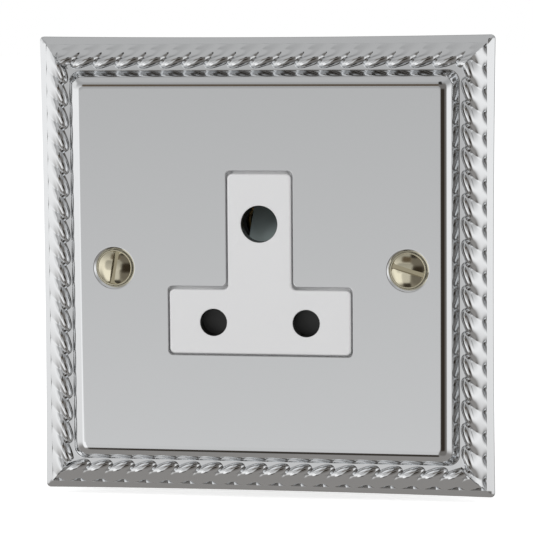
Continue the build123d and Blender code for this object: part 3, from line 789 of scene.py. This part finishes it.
def tent_cloth():
    """White tent cloth with its patches, told by yaw and pitch from straight in front."""
    material = bpy.data.materials.new("tent cloth")
    material.use_nodes = True
    tree = material.node_tree
    tree.nodes.clear()
    patch_tree = soft_patch()
    place = tree.nodes.new("ShaderNodeTexCoord")
    unit = tree.nodes.new("ShaderNodeVectorMath")
    unit.operation = "NORMALIZE"
    split = tree.nodes.new("ShaderNodeSeparateXYZ")
    feed(tree, unit.inputs[0], place.outputs["Object"])
    feed(tree, split.inputs[0], unit.outputs[0])
    forward = maths(tree, "MULTIPLY", split.outputs[1], -1.0)
    yaw = maths(tree, "DEGREES", maths(tree, "ARCTAN2", split.outputs[0], forward))
    pitch = maths(tree, "DEGREES", maths(tree, "ARCSINE", split.outputs[2]))
    colour = (1.0, 1.0, 1.0, 1.0)
    for (middle_yaw, middle_pitch, half_width, half_height, softness), low, high, warm in PATCHES:
        mask = placed(tree, patch_tree, yaw=yaw, pitch=pitch, middle_yaw=middle_yaw,
                      middle_pitch=middle_pitch, half_width=half_width, half_height=half_height,
                      softness=softness)
        share = spread(tree, pitch, middle_pitch - half_height, middle_pitch + half_height)
        tone = mixed(tree, share, cloth_grey(low, warm), cloth_grey(high, warm))
        colour = mixed(tree, mask["Mask"], colour, tone)
    shine = tree.nodes.new("ShaderNodeEmission")
    leave = tree.nodes.new("ShaderNodeOutputMaterial")
    feed(tree, shine.inputs["Color"], colour)
    feed(tree, leave.inputs["Surface"], shine.outputs[0])
    return material


def seen_directly(tree):
    """1 for what the camera sees, also in a mirror or through glass, and 0 for light on the object."""
    rays = tree.nodes.new("ShaderNodeLightPath").outputs
    shown = maths(tree, "MAXIMUM", rays["Is Camera Ray"], rays["Is Glossy Ray"])
    return maths(tree, "MAXIMUM", shown, rays["Is Transmission Ray"])


ball = bmesh.new()
bmesh.ops.create_icosphere(ball, subdivisions=4, radius=1.5)
tent = new_object("studio tent", plain_mesh("studio tent", ball))
tent.data.materials.append(tent_cloth())
tent.visible_camera = False
tent.visible_diffuse = False
tent.visible_shadow = False
tent.visible_transmission = False

scene = bpy.context.scene
world = bpy.data.worlds.new("white studio")
world.use_nodes = True
scene.world = world
sky_tree = world.node_tree
sky = sky_tree.nodes["Background"]
sky.inputs["Color"].default_value = (1.0, 1.0, 1.0, 1.0)
sky_light = 0.62
feed(sky_tree, sky.inputs["Strength"], spread(sky_tree, seen_directly(sky_tree), 0.0, 1.0, sky_light, 1.0))

for name, place, size, power in (("left soft box", (-0.9, -0.75, 0.3), 0.7, 7.0),
                                 ("right soft box", (0.95, -0.6, 0.35), 0.6, 4.0)):
    lamp = bpy.data.lights.new(name, "AREA")
    lamp.size = size
    lamp.energy = power
    box = bpy.data.objects.new(name, lamp)
    box.location = place
    box.rotation_euler = (-Vector(place)).to_track_quat("-Z", "Y").to_euler()
    box.visible_glossy = False
    bpy.context.collection.objects.link(box)

FLOOR_Z, FLOOR_HALF = -0.0485, 4.0
floor_mesh = bpy.data.meshes.new("pale floor")
corners = ((-1, -1), (1, -1), (1, 1), (-1, 1))
floor_mesh.from_pydata([(x * FLOOR_HALF, y * FLOOR_HALF, FLOOR_Z) for x, y in corners], [], [(0, 1, 2, 3)])
floor = new_object("pale floor", floor_mesh)
pale = bpy.data.materials.new("pale floor")
pale.use_nodes = True
floor_shader = pale.node_tree.nodes["Principled BSDF"]
floor_shader.inputs["Base Color"].default_value = (0.9, 0.9, 0.9, 1.0)
floor_shader.inputs["Roughness"].default_value = 0.9
floor_shader.inputs["Specular IOR Level"].default_value = 0.0
floor_shader.inputs["Emission Color"].default_value = (1.0, 1.0, 1.0, 1.0)
feed(pale.node_tree, floor_shader.inputs["Emission Strength"],
     maths(pale.node_tree, "MULTIPLY", seen_directly(pale.node_tree), 0.5))
floor_mesh.materials.append(pale)
floor.visible_glossy = False

# Camera at the photograph's angle
PHOTO_SIDE = 533
CAMERA_AWAY = 0.55665
azimuth, elevation, roll = math.radians(10.047), math.radians(5.693), math.radians(-0.434)
toward = Vector((math.sin(azimuth) * math.cos(elevation), -math.cos(azimuth) * math.cos(elevation),
                 math.sin(elevation)))
right = (-toward).cross(Vector((0, 0, 1))).normalized()
up = right.cross(-toward)
right_rolled = right * math.cos(roll) + up * math.sin(roll)
up_rolled = up * math.cos(roll) - right * math.sin(roll)
lens = bpy.data.cameras.new("camera")
lens.sensor_width = 36.0
lens.lens = 183.488
lens.shift_x = 0.37 / PHOTO_SIDE
lens.shift_y = -0.91 / PHOTO_SIDE
lens.clip_start = 0.01
camera = bpy.data.objects.new("camera", lens)
facing = Matrix((right_rolled, up_rolled, toward)).transposed().to_4x4()
camera.matrix_world = Matrix.Translation(toward * CAMERA_AWAY) @ facing
bpy.context.collection.objects.link(camera)
scene.camera = camera
scene.view_settings.view_transform = "Standard"
